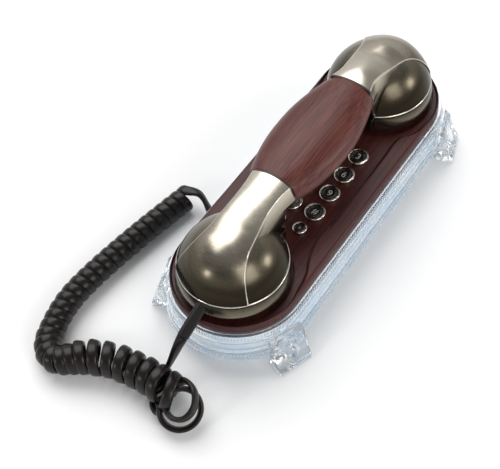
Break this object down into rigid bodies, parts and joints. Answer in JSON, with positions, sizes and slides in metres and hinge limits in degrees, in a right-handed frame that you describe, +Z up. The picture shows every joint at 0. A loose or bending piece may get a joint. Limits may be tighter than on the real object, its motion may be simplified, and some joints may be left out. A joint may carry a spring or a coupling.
{
  "type": "slimline corded wall phone",
  "caption": "Slimline corded phone with a clear lugged base, wood-look faceplate and keypad, and a wood-grip handset with metal-finish ends on a curly cord.",
  "frame": {"origin": "on the surface the lugs stand on, under the middle of the base", "axes": "+Z up through the keys, Y along the phone with the ear end at +Y and the cord end at -Y, +X to the right of the keypad"},
  "size_m": [0.1216, 0.2486, 0.0686],
  "materials": {
    "clear": "clear polished plastic",
    "clear_plug": "clear moulded plastic",
    "white_plastic": "satin moulded plastic",
    "wood": "satin lacquered wood look",
    "grip_wood": "satin lacquered wood look",
    "bright": "bright plated",
    "nickel": "brushed antique nickel plating on plastic",
    "key_plastic": "dark key tops",
    "silicone": "silicone",
    "board": "solder mask",
    "dark_plastic": "moulded",
    "screw_steel": "zinc plated",
    "cord_rubber": "satin cord jacket"
  },
  "bodies": {
    "base": {"clear_base_tray": "clear", "chassis_pan": "white_plastic", "faceplate": "wood", "bezel_frame": "bright", "key_membrane": "silicone", "key_board": "board", "board_components": "dark_plastic", "board_screws": "screw_steel", "pan_screws": "screw_steel", "ringer": "dark_plastic", "ballast_plate": "screw_steel", "light_board": "board", "light_strip_left": "white_plastic", "light_strip_right": "white_plastic", "hook_bracket": "white_plastic", "hook_switch": "dark_plastic", "line_jack": "dark_plastic", "handset_jack": "dark_plastic", "cord_tail_handset": "cord_rubber", "cord_coil_loose": "cord_rubber", "cord_coil_tight": "cord_rubber", "cord_tail_base": "cord_rubber", "cord_plug": "clear_plug"},
    "handset": {"mouth_shell": "nickel", "ear_shell": "nickel", "mouth_band": "nickel", "ear_band": "nickel", "mouth_cap": "dark_plastic", "ear_cap": "dark_plastic", "receiver": "screw_steel", "microphone": "screw_steel", "grip_upper": "grip_wood", "grip_lower": "grip_wood", "grip_screws": "screw_steel", "handset_weight": "screw_steel", "seam_ring_mouth": "dark_plastic", "seam_ring_ear": "dark_plastic", "strain_relief": "cord_rubber"},
    "hook_plunger": {"hook_plunger": "dark_plastic"},
    "key_1": {"key_1": "key_plastic"},
    "key_2": {"key_2": "key_plastic"},
    "key_3": {"key_3": "key_plastic"},
    "key_4": {"key_4": "key_plastic"},
    "key_5": {"key_5": "key_plastic"},
    "key_6": {"key_6": "key_plastic"},
    "key_7": {"key_7": "key_plastic"},
    "key_8": {"key_8": "key_plastic"},
    "key_9": {"key_9": "key_plastic"},
    "key_star": {"key_star": "key_plastic"},
    "key_0": {"key_0": "key_plastic"},
    "key_hash": {"key_hash": "key_plastic"},
    "key_mute": {"key_mute": "key_plastic"},
    "key_flash": {"key_flash": "key_plastic"},
    "key_redial": {"key_redial": "key_plastic"}
  },
  "joints": [
    {"name": "handset_lift", "type": "slide", "parent": "base", "child": "handset", "axis": [0, 0, 1], "range_m": [0, 0.04]},
    {"name": "hook_travel", "type": "slide", "parent": "base", "child": "hook_plunger", "axis": [0, 0, 1], "range_m": [0, 0.003]},
    {"name": "key_1_press", "type": "slide", "parent": "base", "child": "key_1", "axis": [0, 0, -1], "range_m": [0, 0.0012], "stiffness_N_per_m": 400, "springref_m": -0.0005},
    {"name": "key_2_press", "type": "slide", "parent": "base", "child": "key_2", "axis": [0, 0, -1], "range_m": [0, 0.0012], "stiffness_N_per_m": 400, "springref_m": -0.0005},
    {"name": "key_3_press", "type": "slide", "parent": "base", "child": "key_3", "axis": [0, 0, -1], "range_m": [0, 0.0012], "stiffness_N_per_m": 400, "springref_m": -0.0005},
    {"name": "key_4_press", "type": "slide", "parent": "base", "child": "key_4", "axis": [0, 0, -1], "range_m": [0, 0.0012], "stiffness_N_per_m": 400, "springref_m": -0.0005},
    {"name": "key_5_press", "type": "slide", "parent": "base", "child": "key_5", "axis": [0, 0, -1], "range_m": [0, 0.0012], "stiffness_N_per_m": 400, "springref_m": -0.0005},
    {"name": "key_6_press", "type": "slide", "parent": "base", "child": "key_6", "axis": [0, 0, -1], "range_m": [0, 0.0012], "stiffness_N_per_m": 400, "springref_m": -0.0005},
    {"name": "key_7_press", "type": "slide", "parent": "base", "child": "key_7", "axis": [0, 0, -1], "range_m": [0, 0.0012], "stiffness_N_per_m": 400, "springref_m": -0.0005},
    {"name": "key_8_press", "type": "slide", "parent": "base", "child": "key_8", "axis": [0, 0, -1], "range_m": [0, 0.0012], "stiffness_N_per_m": 400, "springref_m": -0.0005},
    {"name": "key_9_press", "type": "slide", "parent": "base", "child": "key_9", "axis": [0, 0, -1], "range_m": [0, 0.0012], "stiffness_N_per_m": 400, "springref_m": -0.0005},
    {"name": "key_star_press", "type": "slide", "parent": "base", "child": "key_star", "axis": [0, 0, -1], "range_m": [0, 0.0012], "stiffness_N_per_m": 400, "springref_m": -0.0005},
    {"name": "key_0_press", "type": "slide", "parent": "base", "child": "key_0", "axis": [0, 0, -1], "range_m": [0, 0.0012], "stiffness_N_per_m": 400, "springref_m": -0.0005},
    {"name": "key_hash_press", "type": "slide", "parent": "base", "child": "key_hash", "axis": [0, 0, -1], "range_m": [0, 0.0012], "stiffness_N_per_m": 400, "springref_m": -0.0005},
    {"name": "key_mute_press", "type": "slide", "parent": "base", "child": "key_mute", "axis": [0, 0, -1], "range_m": [0, 0.0012], "stiffness_N_per_m": 400, "springref_m": -0.0005},
    {"name": "key_flash_press", "type": "slide", "parent": "base", "child": "key_flash", "axis": [0, 0, -1], "range_m": [0, 0.0012], "stiffness_N_per_m": 400, "springref_m": -0.0005},
    {"name": "key_redial_press", "type": "slide", "parent": "base", "child": "key_redial", "axis": [0, 0, -1], "range_m": [0, 0.0012], "stiffness_N_per_m": 400, "springref_m": -0.0005}
  ],
  "couplings": [
    {"joint": "hook_travel", "follows": "handset_lift", "ratio": 0.075}
  ]
}
